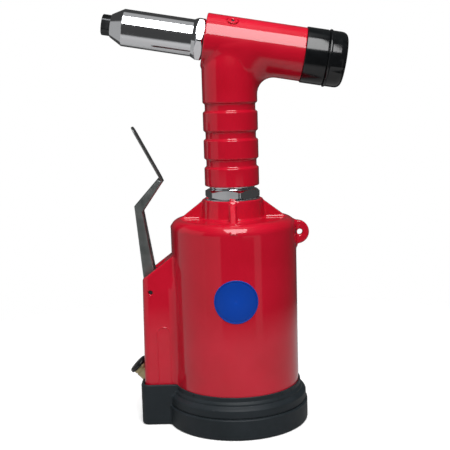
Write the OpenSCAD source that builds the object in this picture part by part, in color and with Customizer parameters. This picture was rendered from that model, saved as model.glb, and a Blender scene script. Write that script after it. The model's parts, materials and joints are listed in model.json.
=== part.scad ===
// Air-hydraulic blind rivet gun. Millimetres, +Z up along the air cylinder and the handle.
// The origin is the middle of the flat underside of the rubber boot; the nose points to -X.

/* [Air cylinder] */
// Outside radius of the air cylinder
cyl_r = 41.5; // [41:0.1:42]
// Radius of the air piston's bore
cyl_bore_r = 38; // [37.5:0.1:38.2]
// Height of the flat shoulder on top of the cylinder
cyl_top = 137; // [136:0.5:138]
// Rounding of the shoulder's outer edge
cyl_edge_r = 6.5; // [5:0.5:7]
// Thickness of the shoulder
shoulder_t = 6; // [5:0.5:8]
// Radius of the collar where it leaves the shoulder
collar_r = 20.8; // [20:0.1:22]
// Radius of the collar at its top
collar_top_r = 19.8; // [19:0.1:20.5]
// Height of the collar's top face
collar_top = 149.5; // [148:0.5:149.5]
// Thickness of the four ribs that brace the collar
rib_w = 4; // [3:0.5:6]
// Radius at which the ribs run out on the shoulder
rib_foot_r = 35; // [32:0.5:35]

/* [Hanging lug] */
// Distance of the lug's centre from the cylinder's axis
lug_x = 42.2; // [42:0.1:43]
// Height of the lug's centre
lug_z = 126.2; // [125:0.1:127]
// Radius of the lug's rounded end
lug_r = 7.9; // [7:0.1:8]
// Thickness of the lug
lug_t = 4.5; // [4:0.5:6]
// Radius of the hole for the hanging hook
lug_hole_r = 2; // [1.8:0.1:2.5]

/* [Rubber boot] */
// Radius of the boot's lower band
boot_r = 47.3; // [46.8:0.1:48]
// Thickness of the boot's floor
boot_floor = 5; // [5:0.5:5.5]
// Height of the boot's lower band
boot_step_z = 13.7; // [12:0.1:15]
// Height of the boot's lip around the cylinder
boot_top = 27; // [26.5:0.5:28]
// Wall of the boot around the valve housing
boot_wall = 2.4; // [2:0.1:3]

/* [Valve housing] */
// Distance of the housing's outer face from the axis
valve_x = 62; // [61.8:0.1:62.5]
// Half the housing's width
valve_half_w = 12.7; // [12:0.1:13]
// Height of the sloped top at its outer edge
valve_low_z = 99.6; // [99:0.1:100]
// Height of the sloped top at its inner edge
valve_high_z = 115; // [114:0.5:116]
// Distance of the slope's inner edge from the axis
valve_high_x = 41.4; // [41:0.1:42]
// Half the width of the slot for the trigger
slot_half_w = 6.4; // [6.4:0.1:7]
// Distance of the upright valve bore from the axis
valve_bore_x = 48; // [47.8:0.1:48.2]
// Radius of the valve bore
valve_bore_r = 5; // [4.8:0.1:5]

/* [Trigger] */
// Distance of the trigger's pivot from the axis
pivot_x = 55.6; // [55.4:0.1:55.8]
// Height of the trigger's pivot
pivot_z = 90; // [89.8:0.1:90.2]
// Radius of the pivot pin
pivot_r = 1.25; // [1:0.05:1.3]
// Thickness of the trigger's sheet steel
sheet_t = 1.5; // [1.2:0.1:1.6]
// Half the width of the trigger's channel
lever_half_w = 6; // [5.5:0.1:6]
// Half the width of the trigger's paddle
paddle_half_w = 8; // [6:0.5:10]

/* [Handle and head] */
// Radius of the handle
handle_r = 17.9; // [17.5:0.1:18.2]
// Height of the handle's lower end
handle_z = 158.3; // [158:0.1:159]
// Height of the lowest finger groove
groove_z = 173.3; // [172:0.1:174]
// Distance from one finger groove to the next
groove_pitch = 18; // [17:0.5:18.5]
// Depth of a finger groove
groove_d = 1.4; // [1:0.1:2]
// Height at which the head's axis crosses the handle's axis
head_z = 250; // [249:0.5:251]
// Angle by which the nose points up
head_tilt = 10; // [9:0.5:11]
// Radius of the head
head_r = 17.2; // [17:0.1:17.5]
// Length of the head behind the handle's axis
head_back = 48.9; // [48.5:0.1:49.5]
// Radius of the curve between the handle and the head's underside
blend_r = 12.5; // [10:0.5:14]

/* [Nose] */
// Width across the flats of the nose housing's hexagon
nose_hex_af = 26; // [25:0.5:27]
// Radius of the nose housing's barrel
nose_r = 11.85; // [11.5:0.05:12]
// Width across the flats of the nosepiece
nosepiece_af = 12; // [11:0.5:13]
// Radius of the hole that takes the rivet's stem
mandrel_r = 1.75; // [1.6:0.05:1.8]

/* [Rear cap and collector] */
// Radius of the rear cap and of the stem collector
cap_r = 17.9; // [17.5:0.1:18.2]
// Height of the bead around the collector's mouth
bead_h = 0.6; // [0.4:0.1:1]

/* [Hydraulics] */
// Stroke of the air piston
air_stroke = 62; // [40:1:62]
// Radius of the ram on the air piston
ram_r = 5; // [4.8:0.1:5]
// Radius of the oil piston's bore in the head
oil_bore_r = 14; // [13.9:0.1:14.1]
// Radius of the oil piston's front rod
oil_rod_r = 8; // [7.8:0.1:8]
// Radial clearance of a sliding fit
run_gap = 0.05; // [0.02:0.01:0.08]

/* [Air inlet] */
// Distance from the axis at which the inlet leaves the housing
inlet_x = 62; // [61.5:0.1:62.5]
// Height at which the inlet leaves the housing
inlet_z = 33.5; // [33:0.1:34]
// Radius of the brass inlet
inlet_r = 5.8; // [5.5:0.1:6]
// Radius of the inlet's socket
inlet_bore_r = 4.3; // [4.2:0.05:4.4]
// Radius of the inlet's spigot, which the dust cap fits over
inlet_spigot_r = 5.2; // [5:0.05:5.4]
// Radius of the dust cap
dust_r = 6.95; // [6.5:0.05:7.5]

/* [Badge] */
// Radius of the round badge
badge_r = 14; // [10:0.5:15]
// Height of the badge's centre
badge_z = 88.9; // [80:0.1:95]

/* [Hidden] */
$fn = 72;

paint = [0.78, 0.04, 0.13];
black = [0.1, 0.1, 0.11];
rubber = [0.18, 0.2, 0.22];
chrome = [0.8, 0.81, 0.83];
steel = [0.55, 0.56, 0.58];
gunmetal = [0.28, 0.3, 0.3];
alloy = [0.7, 0.7, 0.72];
brass = [0.72, 0.6, 0.35];
seal_colour = [0.3, 0.12, 0.1];

fit = 0.05;                              // gap between pieces that are fixed to each other
wrap = 0.3;                              // gap between pieces that move freely
cyl_ceiling = cyl_top - shoulder_t;
lug_hole_x = 1.6;                         // the hole lies outside the lug's centre by this much
cap_z = 8;                                // underside of the end cap
cap_t = 10;
cap_groove_z = 13;
ring_groove_r = cyl_bore_r + 1.3;
clip_z = 6.3;
clip_t = 1.5;
piston_z = 20.3;
piston_t = 14;
piston_top = piston_z + piston_t;
piston_groove_z = piston_z + 4;
piston_groove_d = 4.5;
nut_recess = 5.7;
rod_thread_r = 4;
ram_tip_z = 128;
neck_r = 15;
neck_low = 104;
neck_high = 176;
gland_r = 11;
gland_top = 122;
oil_tube_r = 8;
stop_z = piston_top + air_stroke + 0.7;
stop_t = 4;
nut_low = 150.2;
nut_high = 156;
nut_af = 32.5;
nut_turn = 45.7;
slot_floor = 81;
slot_inner_x = 45.4;
bushing_low = 40;
bushing_high = 77.8;
stem_r = 1.9;
stem_top = 84.9;
heel_z = 85.2;
plug_top = 18;
exhaust_z = 52;
exhaust_r = 4.6;
bushing_grooves = [44, 58, 72];
bushing_groove_w = 1.6;
stem_grooves = [50, 65];
spring_top = 36;
head_front = -15.6;
socket_end = -9.6;
chamber_s = -1;
land_s = 3.5;
land_end = 14.5;
rod_seal_r = 10.6;
seal_s = -6.6;
seal_end = -3;
case_front = -64;
case_back = -25.2;
taper_back = -50.2;
case_mouth_r = 3.3;
case_bore_r = 7;
spigot_end = -34;
spigot_r = 6;
case_r = 9.2;
taper = (case_bore_r - case_mouth_r) / (taper_back - case_front);
jaw_front = -61.6;
jaw_back = -51.2;
jaw_gap = 0.1;
jaw_split = 0.13;
jaw_travel = 2.1;
jaw_travel_s = jaw_travel * cos(atan(taper));
jaw_travel_r = jaw_travel * sin(atan(taper));
nose_tip = -76.2;
piece_tip = -81.9;
piece_back = -62.2;
rear_guide_s = 42;
bowl_s = 53;
bowl_r = 12;
cap_end = 63.4;
neck_end = 68;
cap_neck_r = 14.5;
cup_bore_r = 14.9;
cup_end = 75.6;
cup_floor = 73.4;
nose_hex_turn = 36;
tube_end = 52.5;
inlet_thread_r = 5.2;
inlet_low = -8;
inlet_seat = -3.5;
washer_t = 0.9;
inlet_shoulder = 5.1;
inlet_end = 6.9;
dust_z = inlet_shoulder + wrap;
dust_t = 2.5;
feed_r = 4;
bleed_s = 0.9;
bleed_angle = 54.5;

// A ring or a sleeve around Z, from z0 to z1.
module ring(r_in, r_out, z0, z1) {
    rotate_extrude() translate([r_in, z0]) square([r_out - r_in, z1 - z0]);
}

// A disc or a rod around Z, from z0 to z1.
module rod(r, z0, z1) {
    translate([0, 0, z0]) cylinder(r = r, h = z1 - z0);
}

// A round-section ring around Z.
module o_ring(r_mid, wire_r, z) {
    rotate_extrude() translate([r_mid, z]) circle(wire_r, $fn = 24);
}

// A hexagonal bar around Z with chamfered corners at the ends that are asked for.
module hex_bar(af, z0, z1, low = true, high = true) {
    corner_r = af / sqrt(3);
    drop = (corner_r - af / 2) * 0.6;
    intersection() {
        translate([0, 0, z0]) cylinder(r = corner_r, h = z1 - z0, $fn = 6);
        rotate_extrude() polygon([
            [0, z0], [low ? af / 2 : corner_r, z0], [corner_r, low ? z0 + drop : z0],
            [corner_r, high ? z1 - drop : z1], [high ? af / 2 : corner_r, z1], [0, z1]
        ]);
    }
}

// A coil spring around Z whose ends lie flat between z0 and z1.
module coil_spring(r_mid, wire_r, z0, z1, turns) {
    steps = 14;
    sides = 8;
    rings = turns * steps;
    rise = z1 - z0 - 2 * wire_r;
    function height(t) = z0 + wire_r + rise * min(1, max(0, (t - 0.1) / 0.8));
    points = [
        for (i = [0 : rings], k = [0 : sides - 1])
            let (turn = 360 * i / steps, a = 360 * k / sides, r = r_mid + wire_r * cos(a))
                [r * cos(turn), r * sin(turn), height(i / rings) + wire_r * sin(a)]
    ];
    faces = concat(
        [[for (k = [0 : sides - 1]) k]],
        [for (i = [0 : rings - 1], k = [0 : sides - 1])
            [i * sides + k, (i + 1) * sides + k,
             (i + 1) * sides + (k + 1) % sides, i * sides + (k + 1) % sides]],
        [[for (k = [sides - 1 : -1 : 0]) rings * sides + k]]
    );
    polyhedron(points, faces);
}

// Places children on the head's axis: their +Z is rearward, their +X is down.
module on_head() {
    translate([0, 0, head_z]) rotate([0, 90 + head_tilt, 0]) children();
}

// Places children on the inlet's axis: their +Z points out and up.
module on_inlet() {
    translate([-inlet_x, 0, inlet_z]) rotate([0, -45, 0]) children();
}

// Extrudes an outline drawn in X and Z to both sides of the plane Y = 0.
module slab(half_w) {
    rotate([90, 0, 0]) translate([0, 0, -half_w]) linear_extrude(2 * half_w) children();
}

// Outline of the cylinder and its collar, as a half section.
module cylinder_section() {
    translate([0, boot_floor]) square([cyl_r, cyl_top - cyl_edge_r - boot_floor]);
    translate([0, boot_floor]) square([cyl_r - cyl_edge_r, cyl_top - boot_floor]);
    intersection() {
        translate([cyl_r - cyl_edge_r, cyl_top - cyl_edge_r]) circle(cyl_edge_r);
        translate([0, boot_floor]) square([cyl_r, cyl_top - boot_floor]);
    }
    polygon([
        [0, cyl_top - 1], [collar_r, cyl_top - 1], [collar_r, cyl_top],
        [collar_top_r, collar_top], [0, collar_top]
    ]);
}

module rib() {
    slab(rib_w / 2) polygon([
        [collar_top_r - 2, cyl_top - 2], [rib_foot_r, cyl_top - 2], [rib_foot_r, cyl_top],
        [collar_top_r - 0.1, collar_top - 0.8], [collar_top_r - 2, collar_top - 0.8]
    ]);
}

module lug() {
    foot_x = cyl_r - 3;
    slab(lug_t / 2) {
        translate([lug_x, lug_z]) circle(lug_r);
        polygon([
            [foot_x, lug_z - 11.5], [cyl_r, lug_z - 9.5],
            [lug_x + lug_r * cos(60), lug_z - lug_r * sin(60)], [lug_x, lug_z],
            [lug_x, lug_z + lug_r], [foot_x, lug_z + lug_r]
        ]);
    }
}

// Plan of the valve housing, grown by `grow` for the boot around it.
module housing_plan(grow = 0, edge = 4.5) {
    half = valve_half_w + grow;
    left = -valve_x - grow;
    translate([left + edge, -half]) square([valve_x + grow - edge - 30, 2 * half]);
    translate([left, -half + edge]) square([valve_x + grow - 30, 2 * half - 2 * edge]);
    for (side = [-1, 1])
        translate([left + edge, side * (half - edge)]) circle(edge);
}

module valve_housing() {
    intersection() {
        translate([0, 0, boot_floor]) linear_extrude(valve_high_z) housing_plan();
        slab(valve_half_w + 1) polygon([
            [-valve_x - 1, boot_floor], [-30, boot_floor], [-30, valve_high_z],
            [-valve_high_x, valve_high_z], [-valve_x, valve_low_z], [-valve_x - 1, valve_low_z]
        ]);
    }
}

// The arched outline on the housing's front face.
module arch_outline(half_w, top) {
    translate([-valve_bore_x, boot_top - 4]) {
        translate([-half_w, 0]) square([2 * half_w, top - half_w - boot_top + 4]);
        translate([0, top - half_w - boot_top + 4]) circle(half_w);
    }
}

module arch_groove() {
    translate([0, -valve_half_w + 0.35, 0])
        rotate([90, 0, 0]) linear_extrude(1) difference() {
            arch_outline(4.5, 66.6);
            arch_outline(4.1, 66.2);
        }
}

module air_cylinder() {
    through = 40;
    color(paint) difference() {
        union() {
            rotate_extrude() cylinder_section();
            for (turn = [0 : 90 : 270]) rotate([0, 0, turn]) rib();
            lug();
            valve_housing();
        }
        rod(cyl_bore_r, 0, cyl_ceiling);
        rod(ring_groove_r, clip_z - 0.2, clip_z + clip_t + 0.1);
        rod(neck_r + fit, cyl_ceiling - 1, collar_top + 1);
        translate([lug_x + lug_hole_x, lug_t, lug_z]) rotate([90, 0, 0])
            cylinder(r = lug_hole_r, h = 2 * lug_t);
        translate([-valve_bore_x, 0, 0]) {
            rod(valve_bore_r, 0, bushing_high + 0.2);
            rod(stem_r + 0.7, bushing_low, slot_floor + 1);
        }
        translate([-valve_x - 10, -slot_half_w, slot_floor])
            cube([valve_x + 10 - slot_inner_x, 2 * slot_half_w, through]);
        translate([-pivot_x, through / 2, pivot_z]) rotate([90, 0, 0])
            cylinder(r = pivot_r + fit, h = through);
        translate([-valve_bore_x, 0, 19.1]) rotate([0, 90, 0]) cylinder(r = 1, h = 15);
        on_inlet() {
            rod(feed_r, -15, 3);
            rod(inlet_thread_r + fit, inlet_low - 0.4, 3);
            rod(inlet_r + wrap, inlet_seat, 12);
            rod(dust_r + wrap, inlet_shoulder, 14);
        }
        translate([-valve_bore_x, 3, exhaust_z]) rotate([-90, 0, 0])
            cylinder(r = exhaust_r, h = 15);
        arch_groove();
    }
}

module end_cap() {
    color(alloy) difference() {
        rod(cyl_bore_r - fit, cap_z, cap_z + cap_t);
        ring(cyl_bore_r - 2.4, cyl_bore_r + 1, cap_groove_z - 1.2, cap_groove_z + 1.2);
        translate([0, 0, cap_z - 1]) cylinder(r = 20, h = 5);
    }
}

module end_cap_oring() {
    color(seal_colour) o_ring(cyl_bore_r - 1.25, 1.12, cap_groove_z);
}

module retaining_ring() {
    color(steel) difference() {
        ring(cyl_bore_r - 4, ring_groove_r - 0.1, clip_z, clip_z + clip_t);
        translate([0, -5, 0]) cube([50, 10, 20]);
    }
}

module boot_section() {
    polygon([
        [0, 0], [boot_r - 1.5, 0], [boot_r, 1.5], [boot_r, boot_step_z - 0.6],
        [boot_r - 0.6, boot_step_z], [boot_r - 1.6, boot_step_z], [boot_r - 1.6, boot_step_z + 0.6],
        [boot_r - 1, boot_step_z + 1], [boot_r - 1, 19.2], [boot_r - 1.6, 20],
        [cyl_r + 2.2, 21.6], [cyl_r + 2.2, 22.6], [cyl_r + 1.7, 23.4],
        [cyl_r + 1.1, 24.2], [cyl_r + 1.1, boot_top], [0, boot_top]
    ]);
}

module rubber_boot() {
    color(rubber) difference() {
        union() {
            rotate_extrude() boot_section();
            linear_extrude(boot_top + 0.6) housing_plan(boot_wall, 5);
        }
        rod(cyl_r + 0.1, boot_floor, 60);
        translate([0, 0, boot_floor]) linear_extrude(60) housing_plan(0.1);
        on_inlet() rod(inlet_r + 0.6, inlet_low, 12);
    }
}

module bottom_bumper() {
    color(rubber) ring(12, 20, cap_z + cap_t, piston_z - wrap);
}

module top_bumper() {
    color(rubber) ring(ram_r + 0.8, 13, stop_z, stop_z + stop_t);
}

module neck_tube() {
    color(chrome) difference() {
        union() {
            rod(neck_r, neck_low, neck_high);
            rod(24, cyl_ceiling - 5, cyl_ceiling);
        }
        rod(gland_r, neck_low - 1, gland_top);
        rod(oil_tube_r, gland_top - 1, neck_high + 1);
    }
}

module rod_guide() {
    color(brass) ring(ram_r + run_gap, gland_r - fit, 112, gland_top);
}

module rod_seal() {
    color(seal_colour) ring(ram_r + 0.03, gland_r - fit, 106.6, 112);
}

module gland_nut() {
    color(steel) difference() {
        union() {
            rod(gland_r - fit, stop_z + stop_t, 106.6);
            hex_bar(25, stop_z + stop_t, neck_low - fit, true, false);
        }
        rod(ram_r + 0.4, 90, 110);
    }
}

module lock_washer() {
    color(steel) ring(neck_r + fit, 18.3, collar_top, nut_low);
}

module lock_nut() {
    color(chrome) difference() {
        rotate([0, 0, nut_turn]) hex_bar(nut_af, nut_low, nut_high);
        rod(neck_r + fit, nut_low - 1, nut_high + 1);
    }
}

// Half section of the handle with its finger grooves.
module handle_section() {
    flank = 1.2;
    floor_w = 3.2;
    grooves = [for (i = [0 : 2]) groove_z + i * groove_pitch];
    polygon(concat(
        [[0, handle_z], [handle_r - 1, handle_z], [handle_r, handle_z + 1]],
        [for (z = grooves, p = [
            [handle_r, -floor_w / 2 - flank], [handle_r - groove_d, -floor_w / 2],
            [handle_r - groove_d, floor_w / 2], [handle_r, floor_w / 2 + flank]
        ]) [p[0], z + p[1]]],
        [[handle_r, head_z - 25], [head_r, head_z - 14], [head_r, head_z - 2], [0, head_z - 2]]
    ));
}

// The web that carries the curve between the handle's back and the head.
module rear_blend() {
    centre_x = handle_r + blend_r;
    centre_z = head_z - head_r / cos(head_tilt) - (blend_r / cos(head_tilt))
        - centre_x * tan(head_tilt);
    foot_x = centre_x + blend_r * sin(head_tilt);
    difference() {
        slab(11) polygon([
            [0, centre_z], [centre_x, centre_z], [foot_x + 1, centre_z + blend_r - 1],
            [foot_x + 2, head_z - foot_x * tan(head_tilt) - 10], [0, head_z - 10]
        ]);
        translate([centre_x, 0, centre_z]) rotate([90, 0, 0])
            translate([0, 0, -20]) cylinder(r = blend_r, h = 40);
    }
}

module bleed_axis() {
    on_head() translate([0, 0, bleed_s]) rotate([0, 0, 180 + 90 - bleed_angle])
        rotate([0, 90, 0]) children();
}

module handle_head() {
    color(paint) difference() {
        union() {
            on_head() rod(head_r, head_front, head_back);
            rotate_extrude() handle_section();
            rear_blend();
        }
        on_head() {
            rod(gland_r + fit, head_front - 10, socket_end);
            rod(oil_rod_r + run_gap, socket_end - 1, chamber_s + 1);
            rod(rod_seal_r, seal_s, seal_end);
            rod(oil_bore_r, chamber_s, head_back + 10);
        }
        rod(neck_r + fit, handle_z - 1, neck_high + fit);
        rod(oil_tube_r, neck_high - 1, 226);
        translate([-1.2, 0, 220]) cylinder(r = 1.8, h = 20);
        bleed_axis() rod(3.8, head_r - 1, head_r + 5);
        bleed_axis() rod(2.5, 11.5, head_r);
    }
}

module front_rod_seal() {
    color(seal_colour) on_head() ring(oil_rod_r + 0.03, rod_seal_r - fit, seal_s + fit, seal_end - fit);
}

module nose_housing() {
    color(chrome) on_head() difference() {
        union() {
            rotate([0, 0, nose_hex_turn]) hex_bar(nose_hex_af, -20.8, -16.2);
            rod(gland_r, -16.3, socket_end - 0.2);
            rotate_extrude() polygon([
                [0, nose_tip], [7.3, nose_tip], [nose_r, -68.2], [nose_r, -23.3],
                [13.2, -20.9], [13.2, -20.7], [0, -20.7]
            ]);
        }
        rod(9.6, -66, 0);
        translate([0, 0, -70]) cylinder(r1 = 4.5, r2 = 9.6, h = 4.01);
        rod(4.5, nose_tip - 1, -69.9);
    }
}

module nose_oring() {
    color(black) on_head() ring(gland_r + 0.2, 12.6, -16.15, head_front - fit);
}

module nose_piece() {
    color(black) on_head() difference() {
        union() {
            hex_bar(nosepiece_af, piece_tip, nose_tip - 0.02, true, false);
            rod(4.5 - fit, nose_tip - 0.5, -69.5);
            rod(2.9, -70, piece_back);
        }
        rod(mandrel_r, piece_tip - 1, piece_back + 1);
    }
}

module bleed_screw() {
    color(paint) bleed_axis() difference() {
        union() {
            rod(3.3, head_r - 0.5, head_r + 0.3);
            rod(2.5 - fit, 14.6, head_r);
        }
        translate([0, 0, head_r - 1.6]) cylinder(r = 1.3, h = 3, $fn = 6);
    }
}

module bleed_washer() {
    color(brass) bleed_axis() ring(2.6, 3.7, head_r - 1 + 0.02, head_r - 0.52);
}

module rear_cap() {
    color(black) on_head() difference() {
        union() {
            rod(oil_bore_r - fit, rear_guide_s, head_back + 0.5);
            rod(cap_r, head_back + fit, cap_end);
            rod(cap_neck_r, cap_end - 1, neck_end);
        }
        rod(5 + run_gap, rear_guide_s - 1, bowl_s + 1);
        rod(bowl_r, bowl_s, neck_end + 1);
        ring(oil_bore_r - 1.6, oil_bore_r + 1, 44.5, 46.5);
        ring(cap_neck_r - 1.2, cap_neck_r + 1, 65, 66.6);
    }
}

module rear_cap_oring() {
    color(seal_colour) on_head() o_ring(oil_bore_r - 0.85, 0.75, 45.5);
}

module collector_oring() {
    color(rubber) on_head() o_ring(cup_bore_r - run_gap - 0.75, 0.75, 65.8);
}

module collector_cup() {
    color(black) on_head() difference() {
        rotate_extrude() polygon([
            [0, cap_end + wrap], [cap_r + bead_h, cap_end + wrap], [cap_r + bead_h, 65.2],
            [cap_r, 65.6], [cap_r, cup_end - 4], [cap_r - 1.2, cup_end - 1.2],
            [cap_r - 4, cup_end], [0, cup_end]
        ]);
        rod(cup_bore_r, cap_end - 1, cup_floor);
    }
}

module return_spring() {
    color(steel) on_head() coil_spring(10.6, 0.95, land_end + 0.05, rear_guide_s - 0.05, 6);
}

module oil_piston() {
    color(steel) on_head() difference() {
        union() {
            rod(spigot_r, spigot_end, -21);
            rod(oil_rod_r, -22, land_s + 1);
            rod(oil_bore_r - run_gap, land_s, land_end);
            rod(5, land_end - 1, tube_end);
        }
        rod(3.1, spigot_end - 1, tube_end + 1);
        ring(11.4, 20, 7, 11);
    }
}

module oil_piston_seal() {
    color(seal_colour) on_head() ring(11.4 + fit, oil_bore_r - 0.04, 7 + fit, 11 - fit);
}

module mandrel_tube() {
    color(steel) on_head() ring(2.3, 3.1 - fit, spigot_end, tube_end);
}

module jaw_case() {
    color(steel) on_head() difference() {
        rotate_extrude() polygon([
            [0, case_front], [5.6, case_front], [case_r, -58], [case_r, case_back], [0, case_back]
        ]);
        rotate_extrude() polygon([
            [0, case_front - 1], [case_mouth_r, case_front - 1], [case_mouth_r, case_front],
            [case_bore_r, taper_back], [case_bore_r, spigot_end + 0.5],
            [spigot_r + fit, spigot_end + 0.5], [spigot_r + fit, case_back + 1], [0, case_back + 1]
        ]);
    }
}

module jaw_lock_nut() {
    color(steel) on_head() ring(spigot_r + fit, case_r, case_back + fit, -22.1);
}

// One of three jaws. Its outline is that of the closed jaw, opened along the case's taper.
module jaw(turn) {
    front = jaw_front - jaw_travel_s;
    back = jaw_back - jaw_travel_s;
    cone_r = case_mouth_r - jaw_gap;
    color(gunmetal) on_head() rotate([0, 0, turn]) translate([jaw_travel_r, 0, jaw_travel_s])
        intersection() {
            rotate_extrude() polygon([
                [mandrel_r - 0.25, front], [cone_r + taper * (front - case_front), front],
                [cone_r + taper * (back - case_front), back], [mandrel_r - 0.25, back]
            ]);
            translate([jaw_split / sin(60), 0, front - 1]) linear_extrude(20)
                polygon([[0, 0], [10, -10 * tan(60)], [10, 10 * tan(60)]]);
        }
}

module jaw_1() { jaw(0); }
module jaw_2() { jaw(120); }
module jaw_3() { jaw(240); }

module jaw_pusher() {
    color(steel) on_head() rotate_extrude() polygon([
        [2.4, jaw_back + wrap], [5.5, jaw_back + wrap], [6.7, -47.5], [6.7, -46.5],
        [4.2, -46.5], [4.2, -40], [2.4, -40]
    ]);
}

module jaw_spring() {
    color(steel) on_head() coil_spring(5.4, 0.55, -46.45, spigot_end - 0.05, 5);
}

module air_piston() {
    color(alloy) difference() {
        rod(cyl_bore_r - run_gap, piston_z, piston_top);
        ring(cyl_bore_r - piston_groove_d, cyl_bore_r + 1, piston_groove_z, piston_groove_z + 5);
        rod(10, piston_z - 1, piston_z + nut_recess);
        rod(rod_thread_r + fit, piston_z, piston_top + 1);
        ring(13, cyl_bore_r - 9, piston_top - 5, piston_top + 1);
    }
}

module piston_seal() {
    color(seal_colour)
        ring(cyl_bore_r - piston_groove_d + fit, cyl_bore_r - 0.03,
            piston_groove_z + fit, piston_groove_z + 5 - fit);
}

module piston_rod() {
    color(chrome) {
        rod(rod_thread_r, piston_z + 0.4, piston_top + 1);
        rotate_extrude() polygon([
            [0, piston_top], [ram_r, piston_top], [ram_r, ram_tip_z - 1.5],
            [ram_r - 1, ram_tip_z], [0, ram_tip_z]
        ]);
    }
}

module piston_washer() {
    color(steel) ring(rod_thread_r + fit, 8.5, piston_z + nut_recess - 1.2, piston_z + nut_recess);
}

module piston_nut() {
    color(steel) difference() {
        hex_bar(13, piston_z + 0.5, piston_z + nut_recess - 1.2);
        rod(rod_thread_r + fit, piston_z, piston_z + 10);
    }
}

module on_valve() {
    translate([-valve_bore_x, 0, 0]) children();
}

module valve_bushing() {
    color(brass) on_valve() difference() {
        rod(valve_bore_r - fit, bushing_low, bushing_high);
        rod(stem_r + run_gap, bushing_low - 1, bushing_high + 1);
        for (z = bushing_grooves)
            ring(valve_bore_r - 1.1, valve_bore_r + 1, z, z + bushing_groove_w);
    }
}

module bushing_orings() {
    color(seal_colour) on_valve() for (z = bushing_grooves)
        o_ring(valve_bore_r - 0.57, 0.5, z + bushing_groove_w / 2);
}

module valve_stem() {
    color(steel) on_valve() difference() {
        union() {
            rod(stem_r, spring_top, stem_top - stem_r + 0.4);
            translate([0, 0, stem_top - stem_r]) sphere(stem_r);
            rod(3.8, spring_top, spring_top + 2);
            rod(2, spring_top - 5, spring_top + 1);
        }
        for (z = stem_grooves) ring(stem_r - 0.6, stem_r + 1, z, z + 1);
    }
}

module stem_orings() {
    color(seal_colour) on_valve() for (z = stem_grooves)
        ring(stem_r - 0.58, stem_r + 0.01, z + 0.03, z + 0.97);
}

module valve_spring() {
    color(steel) on_valve() coil_spring(3, 0.4, plug_top + 0.05, spring_top - 0.05, 7);
}

module valve_plug() {
    color(brass) on_valve() difference() {
        rod(valve_bore_r - fit, boot_floor + 0.5, plug_top);
        translate([0, 0, boot_floor]) cylinder(r = 2.3, h = 4, $fn = 6);
    }
}

module trigger_pin() {
    color(black) translate([-pivot_x, valve_half_w - 1.2, pivot_z]) rotate([90, 0, 0])
        cylinder(r = pivot_r, h = 2 * valve_half_w - 2.4);
}

// A strip of sheet that follows a line of points, drawn in X and Z, with thickness on its right.
module strip(points, t) {
    for (i = [0 : len(points) - 2]) {
        d = points[i + 1] - points[i];
        n = [d[1], -d[0]] / norm(d) * t;
        polygon([points[i], points[i + 1], points[i + 1] + n, points[i] + n]);
    }
}

module trigger_lever() {
    low_left = [-59.45, heel_z + 1];
    elbow = [-64.6, 146.6];
    elbow_inner = [-58.9, 142.6];
    tip = [-48.5, 164.4];
    tip_inner = [-45.1, 162.2];
    paddle_top = [-63.1, 196.9];
    curl_top = [-64.2, 199.1];
    paddle_t = 1;
    heel_x = -47.1;
    color(gunmetal) difference() {
        union() {
            difference() {
                slab(lever_half_w) polygon([
                    low_left, elbow, tip, tip_inner, elbow_inner, [-51.4, 95],
                    [heel_x, heel_z + sheet_t], [heel_x, heel_z], [-58.4, heel_z]
                ]);
                slab(lever_half_w - sheet_t) polygon([
                    low_left + [sheet_t, 1.2], elbow + [sheet_t + 0.2, -0.5],
                    tip + [1.1, -1.15], tip_inner + [3, -3], [-40, 140], [-40, heel_z + sheet_t],
                    [-58, heel_z + sheet_t]
                ]);
            }
            slab(paddle_half_w) strip([[-45.1, 162.4], paddle_top], -paddle_t);
            slab(paddle_half_w) strip([paddle_top, curl_top], -paddle_t);
        }
        translate([-pivot_x, 20, pivot_z]) rotate([90, 0, 0]) cylinder(r = pivot_r + run_gap, h = 40);
        for (side = [-1, 1]) paddle_corner(side);
    }
}

// Rounds a top corner of the paddle.
module paddle_corner(side) {
    r = 5;
    translate([-63, side * (paddle_half_w - r), 190]) rotate([0, -27, 0])
        translate([-10, 0, 0]) rotate([0, 90, 0]) difference() {
            translate([-20, side > 0 ? 0 : -10, 0]) cube([20, 10, 20]);
            cylinder(r = r, h = 20);
        }
}

module air_inlet() {
    color(brass) on_inlet() difference() {
        union() {
            rod(inlet_thread_r, inlet_low, inlet_seat + 1);
            rod(inlet_r, inlet_seat + washer_t, inlet_shoulder);
            rod(inlet_spigot_r, inlet_shoulder - 1, inlet_end);
        }
        rod(inlet_bore_r, inlet_low - 1, inlet_end + 1);
    }
}

module inlet_washer() {
    color(seal_colour) on_inlet()
        ring(inlet_thread_r + fit, inlet_r + 0.2, inlet_seat + 0.02, inlet_seat + washer_t - 0.02);
}

module dust_cap() {
    color(black) on_inlet() difference() {
        rotate_extrude() polygon([
            [0, dust_z], [dust_r - 0.4, dust_z], [dust_r, dust_z + 0.4], [dust_r, dust_z + 1.9],
            [dust_r - 0.8, dust_z + dust_t], [0, dust_z + dust_t]
        ]);
        rod(inlet_spigot_r + run_gap, dust_z - 1, inlet_end + wrap);
    }
}

module exhaust_muffler() {
    color(brass) translate([-valve_bore_x, 6.5, exhaust_z]) rotate([-90, 0, 0])
        cylinder(r = exhaust_r - fit, h = valve_half_w - 7);
}

module badge() {
    color([0.06, 0.25, 0.62]) intersection() {
        ring(cyl_r + 0.02, cyl_r + 0.4, badge_z - badge_r - 1, badge_z + badge_r + 1);
        translate([0.5, 0, badge_z]) rotate([90, 0, 0]) cylinder(r = badge_r, h = 60);
    }
}

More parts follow.
